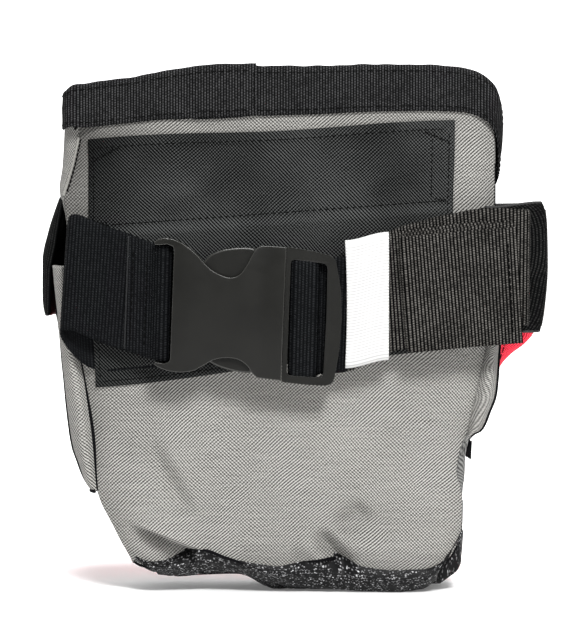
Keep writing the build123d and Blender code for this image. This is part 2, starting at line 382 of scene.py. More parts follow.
def ribbed(name, dark, light, pitch=RIB, rough=0.7, glint=1.0, specular=0.02):
    """Cross-ribbed webbing: u runs along it, so the ribs stand across, each a row of small beads."""
    s = Surface(name, rough, 0.0, specular)
    u, v, flat = s.flat()
    number = s.op("FLOOR", u / pitch)
    rib = s.op("ABSOLUTE", s.op("SINE", u * (math.pi / pitch)))
    odd = s.op("FLOORED_MODULO", number, 2.0) * math.pi
    bead = s.wave(v * (2 * math.pi / BEAD) + odd + s.random(s.join(number, 3.0)) * 1.6)
    spark = s.random(s.join(number, s.op("FLOOR", v / BEAD)))
    rubbed = s.span(s.noise(flat, 0.05, 3.0), 0.3, 0.75)
    lit = s.span(rib, 0.55, 0.98) * (s.span(bead, 0.25, 0.75) * 0.68 + 0.32)
    lit = lit * (spark * (0.75 * glint) + 0.5) * (rubbed * 0.5 + 0.75)
    return s.finish(s.mix(lit, dark, light), bead * rib, 0.2, 0.8)


def knitted(name):
    """Coarse knitted mesh: dark gaps between pale, glinting knots."""
    s = Surface(name, 0.5, 0.0, 0.08)
    u, v, flat = s.flat()
    row = s.op("FLOOR", v / 1.3)
    warp = s.noise(flat, 0.35)
    x = u + s.op("FLOORED_MODULO", row, 2.0) * 0.7 + warp * 2.0
    y = v + warp * 1.2
    cell = {"Vector": s.join(x / 1.3, y / 1.15), "Scale": 1.0, "Randomness": 0.5}
    knot = s.span(s.node("TexVoronoi", cell, "Distance"), 0.16, 0.44, 1.0, 0.0)
    glint = s.random(s.node("TexVoronoi", cell, "Position"))
    lit = knot * (s.op("POWER", glint, 1.6) * 0.8 + 0.2)
    return s.finish(s.mix(lit, (0.005, 0.005, 0.0053), (0.50, 0.50, 0.51)), knot, 0.5, 1.0)


def moulded(name, base, rough, specular=0.3):
    """Moulded plastic with a fine eroded texture."""
    s = Surface(name, rough, 0.0, specular)
    where = s.solid()
    cloud = s.span(s.noise(where, 60.0, 3.0), 0.3, 0.7)
    colour = s.mix(cloud, base, tuple(c * 1.35 for c in base))
    uneven = s.noise(where, 220.0, 3.0) * 0.16 + (rough - 0.08)
    return s.finish(colour, s.noise(where, 2200.0, 3.0, 0.6), 0.05, 0.5, uneven)


def threadlike(name, colour, shine=0.02):
    s = Surface(name, 0.6, 0.0, shine)
    twist = s.noise(s.solid(), 1500.0)
    return s.finish(s.mix(twist, *(tuple(c * k for c in colour) for k in (0.6, 1.5))), twist, 0.1, 0.8)


def elastic(name):
    """Smooth white elastic with faint cords across its width."""
    s = Surface(name, 0.55, 0.1, 0.4)
    u, _, flat = s.flat()
    cord = s.wave(u, 1.25)
    soil = s.span(s.noise(flat, 0.09, 3.0), 0.4, 0.8) * 0.12
    colour = s.mix(soil, s.mix(cord, (0.29, 0.29, 0.286), (0.47, 0.47, 0.465)), (0.5, 0.49, 0.46))
    return s.finish(colour, cord + s.noise(flat, 2.0) * 0.4, 0.12, 0.6)


# The grey cloth is darkened towards its top and left as painted shade.
GREY = oxford(
    "grey_cloth", (0.016, 0.0155, 0.0145), (0.330, 0.324, 0.306), 0.55, 0.36, specular=0.06, contrast=1.4, painted_shade=0.30
)
LINING = oxford("grey_lining", (0.03, 0.03, 0.03), (0.16, 0.16, 0.155), rough=0.6)
# The black cloth's large patches are a painted sheen highlight, and it is darkened towards its top and left as
# painted shade.
BLACK = oxford(
    "black_cloth", (0.0004, 0.0005, 0.0005), (0.050, 0.0515, 0.051), 0.40, 0.66, 0.7, sheen=0.0, wear_and_sheen=0.8,
    specular=0.0, contrast=2.2, painted_shade=0.40,
)
RED = oxford("red_cloth", (0.30, 0.004, 0.012), (0.95, 0.05, 0.09))
BELT = ribbed("belt_webbing", (0.0006, 0.0006, 0.0006), (0.084, 0.080, 0.074))
# A shaded copy of the belt webbing: painted shade for the belt's parts that face away from the light.
BELT_PAINTED_SHADE = ribbed("belt_webbing_shaded", (0.0016, 0.0018, 0.0021), (0.0098, 0.0104, 0.0112), glint=1.4)
BINDING = ribbed("binding_webbing", (0.0022, 0.0022, 0.0023), (0.038, 0.038, 0.039), 1.22, 0.75, 1.2)
# Black webbing for the pocket's mouth band, made darker than the rim's as painted shade.
BAND_BLACK_AND_SHADE = ribbed("mouth_webbing", (0.0010, 0.0011, 0.0012), (0.016, 0.016, 0.0155), rough=0.75, glint=1.2)
MESH = knitted("draining_mesh")
TAPE = threadlike("seam_tape", (0.003, 0.003, 0.0035))
THREAD = threadlike("black_thread", (0.002, 0.002, 0.002))
EDGE_DARK = threadlike("band_edge", (0.02, 0.02, 0.02), 0.1)
EDGE_END = threadlike("belt_end_edge", (0.012, 0.0125, 0.013), 0.05)
# A light tube colour that paints the highlight on the mouth band's lit folds.
EDGE_HIGHLIGHT = threadlike("band_fold", (0.11, 0.108, 0.10), 0.05)
EDGE_LIGHT = threadlike("seam_edge", (0.17, 0.166, 0.155), 0.05)
PLASTIC = moulded("buckle_plastic", (0.0040, 0.0040, 0.0034), 0.36, 0.13)
# Lighter plastic for the rounded edges: a painted highlight.
PLASTIC_HIGHLIGHT = moulded("buckle_edge", (0.0135, 0.0135, 0.0120), 0.30, 0.30)
STRIP = moulded("stiffener_plastic", (0.02, 0.02, 0.02), 0.5)
WHITE = elastic("white_elastic")


# ---- the pouch's form ----
# The back panel's two edges, and the side walls' outer lines, by height.
seam_left = curve([
    (9, -63.8), (12, -65.4), (16, -67.4), (28, -73.3), (45, -81.0), (67, -82.6), (92, -86.3), (110, -89.5),
    (143, -93.0), (165, -94.6), (173, -95.6), (180, -93.7), (190, -91.0), (202, -88.8), (232, -88.0),
])
seam_right = curve([
    (8, 66.0), (14, 75.0), (20, 77.4), (27, 78.2), (60, 78.6), (70, 80.5), (85, 83.5), (97, 86.2), (107, 88.5),
    (125, 91.0), (150, 92.2), (232, 92.2),
])
side_left = curve([
    (9, -64.4), (12, -66.0), (16, -68.0), (28, -73.9), (46, -81.8), (70, -87.0), (97, -91.0), (143, -93.6),
    (160, -94.6), (168, -96.2), (173, -97.9), (178, -98.4), (186, -97.2), (194, -96.6), (202, -96.2), (232, -94.8),
])
side_right = curve([
    (8, 66.6), (14, 75.6), (20, 78.0), (27, 78.8), (60, 79.2), (70, 82.0), (97, 88.5), (125, 92.0), (150, 92.9),
    (232, 93.2),
])
deep = curve([(0, 50), (22, 60), (46, 66), (97, 72), (205, 73), (232, 72)])

hem = curve([
    (-68, 15.2), (-62, 11.7), (-55, 10.9), (-45, 14.3), (-39, 18.2), (-35, 19.4), (-25, 16.1), (-13, 12.2),
    (-3, 10.7), (7, 13.0), (12, 14.5), (21, 15.2), (27, 14.0), (34, 10.9), (48, 9.1), (62, 9.4), (68, 11.0),
    (73, 15.0), (78, 24.0),
])
rim_back = curve([
    (-95, 218.4), (-94, 220.2), (-91, 222.0), (-85, 222.8), (-75, 224.2), (-64, 225.6), (-49, 228.5), (-35, 229.9),
    (-12, 230.6), (-8, 230.3), (10, 230.3), (40, 231.0), (60, 230.8), (74, 230.0), (83, 228.2), (88.6, 225.2),
    (92.8, 220.0), (95.2, 212.5),
])
rim_left = curve([(0, 218.8), (10, 220.0), (40, 221.5), (73, 225.0)])
rim_right = curve([(0, 216.5), (7, 211.0), (16, 203.0), (32, 199.5), (50, 206.0), (73, 223.5)])


def rim_top(x, y):
    """Height of the rim at a place on its outline: soft, and sagging at the sides."""
    side = np.where(x < 0, rim_left(y), rim_right(y))
    front = 224.2 + 1.2 * np.cos(x / 40)
    middle = smooth((92 - np.abs(x + 0.5)) / 12)
    far = side * (1 - middle) + front * middle
    near = smooth((y - 2.5 * (x > 0)) / 9.0)
    return rim_back(x) * (1 - near) + np.where(y > 36, far, side) * near


def beside(x, z, a, b):
    """Signed distance to the line from a to b, and how far along it, from 0 to 1."""
    d = np.array(b, float) - np.array(a, float)
    length = np.hypot(*d)
    d /= length
    along = ((x - a[0]) * d[0] + (z - a[1]) * d[1]) / length
    return (x - a[0]) * -d[1] + (z - a[1]) * d[0], along


def window(t, soft=0.25):
    return smooth((t + soft) / (2 * soft)) * smooth((1 + soft - t) / (2 * soft))


def valley(x, z, a, b, amount, wide):
    d, t = beside(x, z, a, b)
    return amount * np.exp(-((d / wide) ** 2)) * window(t)


def dent(x, z, cx, cz, amount, wide, tall=None):
    return amount * np.exp(-(((x - cx) / wide) ** 2) - ((z - cz) / (tall or wide)) ** 2)


def tuck(x, z):
    """The fold at the lower left, where the main panel overlaps a corner pushed in behind it."""
    d, t = beside(x, z, (-69.0, 33.3), (-34.0, 19.5))
    deepen = smooth(t / 0.45) * smooth((1.5 - t) / 0.4)
    wide = 0.4 + 1.7 * np.clip(t, 0, 1)
    step = smooth(0.5 - (d + wide) / (2 * wide))
    under = 9.5 * deepen * np.exp(np.minimum(d + 2 * wide, 0) / 12.0) * step
    over = -3.2 * smooth(t / 0.4) * smooth((1.7 - t) / 0.6) * np.exp(-np.maximum(d, 0) / 14) * (1 - step)
    return under + over


def back_face(x, z):
    """The back panel's outer face: how far in (+) or out (-) it lies at x and z."""
    low = smooth((100 - z) / 40)
    a = np.clip(1 - (x - seam_left(z)) / 13.0, 0, 1)
    b = np.clip(1 - (seam_right(z) - x) / 12.0, 0, 1)
    y = 5.5 * a**2.3 + (5.0 * b**2.3) * (1 - 0.4 * np.exp(-(((z - 95) / 22) ** 2)))
    y = y - 4.2 * np.exp(-(((z - 54) / 27) ** 2)) * np.cos(np.clip((x + 1) / 84, -1, 1) * 1.5) * low
    folds = tuck(x, z)
    folds = folds + valley(x, z, (-59, 66), (-43, 38), 2.6, 4.0) - valley(x, z, (-51, 68), (-35, 38), 2.2, 4)
    folds = folds + valley(x, z, (35, 38), (25, 29), 4.2, 5.5)
    folds = folds + valley(x, z, (16.5, 26), (29, 12), 6.4, 3.2) - valley(x, z, (8, 24), (18, 12), 4.2, 4.6)
    folds = folds - dent(x, z, 46, 20, 1.4, 15, 9) + dent(x, z, 40, 31, 2.4, 15, 6)
    folds = folds + dent(x, z, -56, 50, 0.9, 6) - dent(x, z, -66, 44, 1.4, 6, 12) + dent(x, z, -70, 60, 1.2, 5, 14)
    folds = folds - dent(x, z, -5, 24, 1.6, 18, 9) + dent(x, z, 79, 90, 1.6, 5, 26) + dent(x, z, -20, 90, 1.0, 26, 9)
    y = y + folds * low
    y = y + 0.55 * wobble(x, z, scale=95, seed=3) * (0.25 + 0.75 * low)
    edge = np.clip((hem(x) + 12 - z) / 12, 0, 1)
    return y + 4.6 * edge**2.2


# ---- panels ----
def back_panel():
    rows, columns = 280, 330
    v = np.linspace(0, 1, rows)[:, None] ** 1.12
    t = np.linspace(0, 1, columns)[None, :]
    x = seam_left(60.0) * (1 - t) + seam_right(60.0) * t + 0 * v
    for _ in range(6):
        z = hem(x) * (1 - v) + (rim_back(x) - 4) * v
        x = seam_left(z) * (1 - t) + seam_right(z) * t
    points = pack(x, back_face(x, z), z)
    cloth("bag_back_panel", points, pack(x, z), GREY, "back_panel", lining=LINING)
    tapes("hem_binding", [tube(points[0, 2:-2:2] + np.array([0, -0.1, 0.2]), 0.75)])


def front_edge(z, sign):
    return side_left(z) + 13.0 if sign < 0 else side_right(z) - 13.0


def front_panel():
    v, t = np.linspace(0, 1, 90)[:, None], np.linspace(0, 1, 110)[None, :]
    z = 11 + (219.5 - 11) * v
    x = front_edge(z, -1) * (1 - t) + front_edge(z, 1) * t
    y = deep(z) + 1.2 * wobble(x, z, scale=120, seed=9) * np.sin(np.pi * t) - 3.0 * smooth((24 - z) / 12) ** 2
    cloth("bag_front_panel", pack(x, y, z), pack(-x, z), GREY, "front_panel", flip=True, lining=LINING)


def side_panel(sign, name, node):
    """A side wall from the back seam round both corners to the front panel."""
    seam, out = (seam_left, side_left) if sign < 0 else (seam_right, side_right)
    v = np.linspace(0, 1, 130)[:, None]
    t = np.concatenate([np.linspace(0, 1, 14), np.linspace(1, 2, 24)[1:], np.linspace(2, 3, 14)[1:]])[None, :]
    a, b, c = np.clip(t, 0, 1), np.clip(t - 1, 0, 1), np.clip(t - 2, 0, 1)
    low = 12.0 + (1.0 if sign < 0 else 13.0) * (1 - smooth(t / 1.3))
    z = low + (214.0 - low) * v
    for _ in range(5):
        x0, y0 = seam(z), back_face(seam(z), z)
        x1, x3, d = out(z), front_edge(z, sign), deep(z)
        x = np.where(t <= 1, (1 - a) ** 2 * x0 + 2 * a * (1 - a) * x1 + a * a * x1, x1)
        y = np.where(t <= 1, (1 - a) ** 2 * y0 + 2 * a * (1 - a) * (y0 + 1.5) + a * a * 15, 15 + (d - 30) * b)
        x = np.where(t > 2, (1 - c) ** 2 * x1 + 2 * c * (1 - c) * x1 + c * c * x3, x)
        y = np.where(t > 2, (1 - c) ** 2 * (d - 15) + 2 * c * (1 - c) * d + c * c * d, y)
        z = low + (rim_top(x, y) - 4.5 - low) * v
    middle = np.exp(-(((y - d / 2) / 18) ** 2))
    x = x - sign * middle * (2.0 * smooth((z - 60) / 70) + wobble(y, z, scale=80, seed=5 + sign))
    around = np.where(t <= 1, t * 17, np.where(t <= 2, 17 + (t - 1) * 44, 61 + (t - 2) * 21))
    cloth(name, pack(x, y, z), pack(around, z), GREY, node, flip=sign < 0, lining=LINING)


# ---- mesh bottom ----
under = curve([
    (-67, 12.4), (-65, 11.3), (-58, 8.4), (-50, 7.4), (-35, 8.3), (-24, 9.1), (-17, 7.4), (-1, 3.5), (23, 1.3),
    (35, 0.4), (48, 0.1), (61, 1.3), (68, 6.1), (73, 12.6), (78, 20.0), (81.5, 27.0),
])


def mesh_bottom():
    """A ruffled bowl of knitted mesh, sewn up inside the hem, with a flat base."""
    l, r, d = -66.5, 79.5, 59.0
    path = arc(r - 12, 12, 12, -90, 0, 14) + arc(r - 14, d - 14, 14, 0, 90, 14)
    path += arc(l + 14, d - 14, 14, 90, 180, 14) + arc(l + 12, 12, 12, 180, 270, 14)
    x, y, nx, ny, s = evenly(path + path[:1], 520)
    back = smooth((16 - y) / 14)
    tip = smooth((x - 70) / 10) * back
    left = smooth((-8 - x) / 16)
    low = back * under(x) + (1 - back) * (2.6 + 5.6 * left + 1.6 * (1 - left) * wobble(x, y, scale=60, seed=11))
    low = np.maximum(low, 0.2)
    high = back * np.maximum(hem(x) + 5, low + 4) + (1 - back) * 17.0
    high = high * (1 - tip) + tip * 29.0
    ruffle = 1.3 * wobble(s, scale=24, seed=4) + 0.7 * wobble(s, scale=8, seed=6)
    behind = np.maximum.reduce([back_face(x, hem(x) + k) for k in (1.0, 3.0, 5.0, 7.0)]) + 1.3
    cx, cy = (l + r) / 2 + 4, d / 2
    wall, base = 22, 16  # rows up the wall and across the base
    rows = []
    for i, share in enumerate(list(np.linspace(1, 0, wall)) + [0.0] * base):
        inward = max(0.0, (i - wall + 1) / base)
        puff = 0.6 + 1.5 * math.sin(math.pi * min(1.0, share * 1.15)) ** 2
        z = low + (high - low) * share
        if inward:
            held_up = 6.8 * smooth((-8 - x * (1 - inward)) / 16)
            settle = smooth(inward * 2.2)
            z = low * (1 - settle) + (0.35 + 0.3 * ruffle**2 + held_up) * settle
        out = puff + ruffle * (0.25 + 0.75 * (1 - share)) * (1 - inward) - 1.2 - 9.0 * (1 - share) ** 2
        gather = inward * 0.985
        px = (x + nx * out + tip * 1.6 * share) * (1 - gather) + cx * gather
        py = (y + ny * out) * (1 - gather) + cy * gather
        z = z + 0.5 * wobble(s, 0 * s + share * 30, scale=12, seed=8) * (1 - inward) * np.sin(np.pi * share)
        held = behind * share + 2.2 * (1 - share) - 1.4 * math.sin(math.pi * share) * (1 - tip)
        py = np.where(y < 16, np.maximum(py, (1 - inward) * held * back), py)
        rows.append(pack(px, np.maximum(py, 0.8), np.maximum(z, 0.15)))
    points = np.stack(rows)
    cloth("mesh_bottom", points, unrolled(points, s), MESH, "mesh_bottom", 0.7, True)


# ---- rim ----
def rim_path():
    """Round the rim from under the overlap on the back to its end."""
    l, r, d = -94.6, 94.5, 73.8
    path = [(-39.0, 0.0)] + arc(r - 10, 10, 10, -90, 0, 20) + arc(r - 14, d - 14, 14, 0, 90, 20)
    path += arc(l + 14, d - 14, 14, 90, 180, 20) + arc(l + 7, 7, 7, 180, 270, 20) + [(-39.0, 0.0), (-11.6, 0.0)]
    return evenly(path, 2300)


rim_drop = curve([
    (-95, 16.8), (-85, 19.3), (-64, 19.9), (-39, 22.4), (-30, 22.6), (0, 21.5), (40, 20.6), (70, 19.8), (82, 19.2),
    (88, 19.6), (92, 21.0), (94.5, 21.5),
])


def rim_webbing():
    """Webbing folded over the rim: outer leaf, fold, inner leaf, and an overlapped end."""
    x, y, nx, ny, s = rim_path()
    top = rim_top(x, y)
    drop = rim_drop(x) * (1 - smooth(y / 12)) + smooth(y / 12) * (17.0 + 3.5 * (x > 0) * smooth((50 - y) / 20))
    lap = smooth((s - (s[-1] - 33.0)) / 9.0)
    under_lap = smooth((26.0 - s) / 6)
    lift = 1.25 * lap
    top = top + 0.7 * lap - 0.9 * under_lap
    drop = drop + 0.4 * lap - 0.6 * under_lap
    rib = 0.12 * np.abs(np.sin(np.pi * s / 1.22))
    pull = 2.2 * smooth((x - 86) / 8) * smooth(y / 8)
    profile = [(1.35, 0.0), (1.75, 0.03), (1.75, 0.10)] + [(1.6, t) for t in (0.25, 0.4, 0.55, 0.7, 0.82)]
    profile += [(1.45, 0.92), (1.0, 0.975), (0.2, 1.0), (-1.2, 1.005), (-2.8, 0.995), (-3.7, 0.97), (-4.1, 0.92)]
    profile += [(-4.15, t) for t in (0.75, 0.5, 0.25)] + [(-4.1, 0.03), (-3.9, 0.0)]
    rows = []
    for out, share in profile:
        face = 1.0 if out > 0.5 else -1.0 if out < -2.5 else 0.3
        ease = 0.25 * wobble(s, scale=70, seed=int(50 + share * 20)) * (share < 0.9)
        o = out + lift * (0.5 + 0.5 * (out > -2)) + rib * face + ease - pull * max(0.0, 0.75 - share) ** 1.3
        z = top - drop * (1 - share) + 0.25 * wobble(s, scale=17, seed=77) * (share > 0.9)
        z = z + 0.12 * rib * (share > 0.95)
        rows.append(pack(x + nx * o, y + ny * o, z))
    points = np.stack(rows)
    cloth("rim_webbing", points, unrolled(points, s), BINDING, "rim_webbing", 0.9)

    def beneath(keep, share, out):
        """The line on the rim at a share of its height, so far out from its path."""
        o = out + 0 * x[keep]
        return pack(x[keep] + nx[keep] * o, y[keep] + ny[keep] * o, (top - drop * (1 - share))[keep])

    every = slice(None, None, 10)
    sewn = []
    for share, out in ((0.11, 1.9), (0.86, 1.75)):
        sewn += stitches(beneath(every, share, out + (lift - pull * max(0.0, 0.75 - share) ** 1.3)[every]), gap=1.0)
    sewn += stitches(np.array([(-12.6, -3.35, z) for z in np.linspace(210.6, 229.2, 40)]), gap=1.0)
    threads("rim_stitching", sewn)
    keep = slice(0, int(len(x) * 0.945), 8)
    points = np.stack([beneath(keep, share, -1.9) for share in (0.12, 0.5, 0.9)])
    uv = pack(s[keep][None, :], np.array([0, 8, 16.0])[:, None])
    cloth("rim_stiffener", points, uv, STRIP, "rim_stiffener", 0.8)


# ---- front pocket ----
# Left and right outer lines of the pocket's gussets and of its cloth, by height.
gusset_left = curve([
    (44.5, -83.4), (46, -84.8), (50, -86.8), (57, -89.2), (63.5, -91.4), (80, -93.9), (98, -95.9), (115.6, -98.0),
    (123, -99.6), (133, -100.8), (144, -101.8),
])
gusset_right = curve([
    (44.5, 72), (58, 76.5), (66, 79.6), (69.6, 82.6), (71.4, 86.0), (79.3, 89.8), (87, 92.6), (92, 93.1), (104, 93.6),
    (125, 94.8), (144, 95),
])
wall_right = curve([
    (44.5, 71), (58, 76), (69, 82), (72, 86.4), (79, 90.0), (87, 92.8), (92, 93.4), (98, 95.0), (104, 100.5),
    (109, 108.0), (114, 111.8), (126, 112.5), (144, 112.8),
])
pocket_deep = curve([(44, 66.5), (52, 71), (62, 77.5), (80, 85), (97, 89.5), (117, 92.4), (150, 93.2), (174, 93.0)])


def plan_line(points, z, count):
    p, at = spline([(x, y, z) for x, y in points], 0.8)
    s = np.linspace(0, at[-1], count)
    return pick(p, at, s), s


def pocket_line(z):
    """The pocket's cloth at height z, from its left seam round the front to its right seam."""
    sl, sr = float(seam_left(z)), float(seam_right(z))
    yl, yr = float(back_face(sl, z)) + 0.5, float(back_face(sr, z)) + 0.3
    gl, gr, wr, d = float(gusset_left(z)), float(gusset_right(z)), float(wall_right(z)), float(pocket_deep(z))
    puff = float(smooth((z - 44) / 12))
    path = [(sl - 0.2, yl), (sl * 0.55 + gl * 0.45, yl - 2.6 * puff), (gl + 0.5, yl + 3.5), (gl, yl + 11)]
    path += [(gl + 0.4, yl + 24), (gl + 0.6, d - 24)]
    path += arc(gl + 15.6, d - 15, 15, 180, 90) + arc(wr - 15, d - 15, 15, 90, 0)
    path += [(wr, d - 24), (wr, yr + 24), (wr - 0.15 * (wr - gr), yr + 15), (gr + 0.05 * (wr - gr), yr + 7.5)]
    path += [(gr, yr + 4.5), (gr - 1.2, yr + 0.5), (sr * 0.5 + gr * 0.5, yr - 2.9 * puff), (sr + 0.1, yr)]
    return plan_line(path, z, 560)


def outward(points):
    """Unit normals of a grid in plan, away from the pouch."""
    t = np.gradient(points, axis=1)
    n = np.stack([-t[..., 1], t[..., 0], 0 * t[..., 0]], -1)
    return n / (np.linalg.norm(n, axis=-1)[..., None] + 1e-9)


def nearest(values, wanted):
    return int(np.argmin(np.abs(values - wanted)))


def front_pocket():
    zs = np.concatenate([np.linspace(44.8, 60, 20)[:-1], np.linspace(60, 143.5, 76)])
    points, s = (np.stack(part) for part in zip(*[pocket_line(float(z)) for z in zs]))
    n = outward(points)
    z = points[..., 2]
    near_left, near_right = s, s[:, -1:] - s
    near = np.minimum(near_left, near_right)
    ease = (0.9 * wobble(s, z, scale=90, seed=21) + 0.45 * wobble(s, z, scale=40, seed=22)) * smooth((near - 20) / 16)
    sag = 1.6 * np.exp(-(((z - 62) / 10) ** 2)) * smooth((near - 45) / 30)
    points = points + n * (ease + sag + 0.7 * smooth(near / 6))[..., None]
    points[..., 2] += 0.6 * wobble(s, scale=60, seed=23) * smooth((60 - z) / 15) * smooth((near_left - 12) / 10)
    uv = pack(s, z)
    first, last = nearest(s[30], 24.0), nearest(near_right[40], 11.5)
    inner = points - n * 1.3 * smooth((z - 116) / 8)[..., None]
    cut = nearest(zs, 126)
    shares = (
        ("pocket_gusset_left", slice(None), slice(0, first + 1), GREY, "grey_cloth", "front_pocket_left_gusset"),
        ("pocket_gusset_right", slice(cut), slice(last, None), GREY, "grey_cloth", "front_pocket_right_gusset"),
        ("pocket_front_panel", slice(cut), slice(first, last + 1), RED, "red_cloth", "front_pocket_panel"),
    )
    for name, high, wide, material, slot, node in shares:
        cloth(name, inner[high, wide], uv[high, wide], material, node, 1.1, True, LINING)
    tapes("pocket_piping", [
        tube(points[1:cut, first] + n[1:cut, first] * 0.5, 1.0),
        tube(points[1:cut - 8, last] + n[1:cut - 8, last] * 0.2, 0.7),
        tube(points[0, 2:-2] + n[0, 2:-2] * 0.2, 0.8),
    ])
    rows = []
    for col in (first + 6, last - 8):
        rows += stitches(points[3:cut - 8, col] + n[3:cut - 8, col] * 0.2)
    threads("pocket_panel_stitching", rows)


band_left = curve([
    (120, -103.6), (122.6, -104.8), (130, -105.6), (146, -105.4), (158, -102.6), (168, -99.2), (174, -97.0),
])
band_right = curve([(114, 111.3), (118, 112.3), (125, 113.4), (143, 114.7), (160, 114.4), (168, 113.6), (172, 111.8)])
band_start = curve([(120, -102.4), (143, -101.6), (150, -99.8), (160, -97.9), (168, -96.2), (174, -95.0)])


def mouth_band():
    """The webbing band round the pocket's mouth, as wide as the belt, wrapped on to the back at the right."""
    rows = []
    for share in (0.0, 0.02, 0.06, 0.12, 0.2, 0.3, 0.4, 0.5, 0.6, 0.7, 0.8, 0.88, 0.94, 0.98, 1.0):
        zl, zr = 122.0 + 51.0 * share, 115.0 + 56.0 * share
        l, r, a, d = float(band_left(zl)), float(band_right(zr)), float(band_start(zl)), 94.6
        ya = 16.0 - 9.0 * float(smooth((zl - 140) / 32))
        path = [(a, ya), (a * 0.55 + l * 0.45, ya + 2.0), (l + 0.5, ya + 6.0), (l, ya + 13), (l, d - 26)]
        path += arc(l + 16, d - 16, 16, 180, 90) + arc(r - 16, d - 16, 16, 90, 0)
        path += [(r, d - 26), (r, 22), (r - 0.2, 10)] + arc(r - 4.2, 6.8, 4.0, -10, -82, 5)
        path += [(104.5, 2.1), (96, 1.6), (90.5, 1.5), (86.0, 1.8)]
        line, s = plan_line(path, 0.0, 1750)
        line[:, 2] = zl * (1 - s / s[-1]) + zr * s / s[-1]
        rows.append((line, s))
    points, s = (np.stack(part) for part in zip(*rows))
    n = outward(points)
    total = s[:, -1:]
    rib = 0.13 * np.abs(np.sin(np.pi * s / RIB))
    inside = smooth((s - 30) / 20) * smooth((total - s - 50) / 20)
    ease = 0.8 * wobble(s, points[..., 2], scale=110, seed=31) * inside
    points = points + n * (rib + ease + 1.0)[..., None]
    points[..., 2] += -1.2 * np.sin(np.pi * s / total) + 0.6 * wobble(s, scale=90, seed=33) * inside
    points[..., 2] -= smooth((s - (total - 26)) / 22) * 2.2 * (points[..., 2] > 150)
    uv = pack(s, points[..., 2])
    cloth("pocket_mouth_band", points, uv, BAND_BLACK_AND_SHADE, "front_pocket_mouth_band", 1.4, True)
    parts = []
    for r in (2, 12):
        parts += stitches(points[r, 60:-60:6] + n[r, 60:-60:6] * 0.15)
    threads("mouth_band_stitching", parts)
    edges = [tube(points[r, 8:-8:4] - n[r, 8:-8:4] * 0.7, 0.8) for r in (0, -1)]
    tubes("mouth_band_edges", edges, EDGE_DARK, POUCH)
    # Light tubes along the band's outer folds: painted highlights where the folds catch the light.
    zl, zr = np.linspace(123.5, 173, 60), np.linspace(117, 168, 60)
    left = tube(pack(band_left(zl) - 0.75, 28.0 - 9.0 * smooth((zl - 140) / 32), zl), 0.5)
    right = tube(pack(band_right(zr) + 0.75, 10.5, zr), 0.7)
    tubes("mouth_band_painted_highlights", [left, right], EDGE_HIGHLIGHT, POUCH)


# ---- seams on the back ----
def seam_piping():
    z = np.linspace(45.5, 104, 80)
    x = seam_left(z)
    # The left seam's black piping, drawn thick and dark so that it also paints the shadow line in the seam.
    left = tube(pack(x + 0.3, back_face(x, z) + 0.4, z), 0.95 + 0.2 * np.sin(z / 9))
    tapes("seam_piping_left", [left], ["seam_piping_left"])
    parts = []
    for z, shift, radius in ((np.linspace(25, 41, 20), -0.1, 0.5), (np.linspace(150, 188, 30), 0.1, 0.45)):
        x = seam_right(z)
        parts.append(tube(pack(x + shift, back_face(x, z) + 0.6, z), radius))
    tapes("seam_piping_right", parts, ["seam_piping_right"])
    z = np.linspace(199.5, 174, 60)
    x = seam_left(z)
    tubes("side_seam_edge", [tube(pack(x, back_face(x, z) - 0.3, z), 0.6)], EDGE_LIGHT, POUCH)
    z_tab = np.linspace(60.5, 68.5, 8)
    tab = [
        tube(pack(79.2 + 0.75 * i + (z_tab - 60) * 0.05, 9 + 0.6 * i, z_tab - 0.5 * i), 0.45, 6) for i in range(5)
    ]
    tapes("pocket_binding_end", tab)
    inner = pack(x + 1.1, back_face(x + 1.1, z) - 0.2, z)
    # The thin continuous black thread beside the stitches paints the shadow line in the seam.
    sewn = stitches(inner, 1.5, 0.5, 0.42) + [tube(inner + np.array([0.5, 0.3, 0]), 0.35, 6)]
    threads("back_seam_stitching_and_shadow_line", sewn)


# ---- belt tunnel ----
def on_panel(u, v):
    """x and z on the tunnel panel: u from its left edge, v up from its bottom edge, 0 to 1."""
    x = (1 - v) * ((1 - u) * -82.0 + u * 74.4) + v * ((1 - u) * -85.2 + u * 74.0)
    z = (1 - v) * ((1 - u) * 90.6 + u * 108.4) + v * ((1 - u) * 198.4 + u * 206.5)
    x = x + 0.5 * np.sin(v * 7 + 1) * (np.abs(2 * u - 1) ** 3)
    z = z + 0.6 * np.sin(u * 9.0) * (2 * v - 1) ** 3
    return x, z


# Soft folds above the belt: amount, start, end and width.
PANEL_FOLDS = (
    (-1.5, (-50, 166), (-18, 196), 6), (1.2, (-36, 164), (-4, 194), 6),
    (-1.5, (38, 172), (66, 198), 7), (1.0, (12, 170), (36, 196), 7),
)


def panel_y(u, v):
    x, z = on_panel(u, v)
    raised = smooth((v - 0.045) / 0.05) * smooth((0.645 - v) / 0.05)
    edge = np.minimum(np.minimum(u, 1 - u) * 158, np.minimum(v, 1 - v) * 107)
    step = 0.4 * smooth((5.4 - edge) / 0.7) * (1 - raised * 0.8)
    above = smooth((v - 0.66) / 0.1)
    puff = 0.9 * wobble(x, z, scale=46, seed=41) * smooth((edge - 5) / 12) * above
    puff = puff + sum(valley(x, z, a, b, amount, wide) for amount, a, b, wide in PANEL_FOLDS) * above
    puff = np.where(puff > 0, 0.45 * np.tanh(puff / 0.45), puff)
    roll = 0.4 * smooth((1.2 - edge) / 1.2)
    return np.minimum(back_face(x, z), 1.0) * (1 - raised) - 1.0 - 1.9 * raised - step + puff + roll


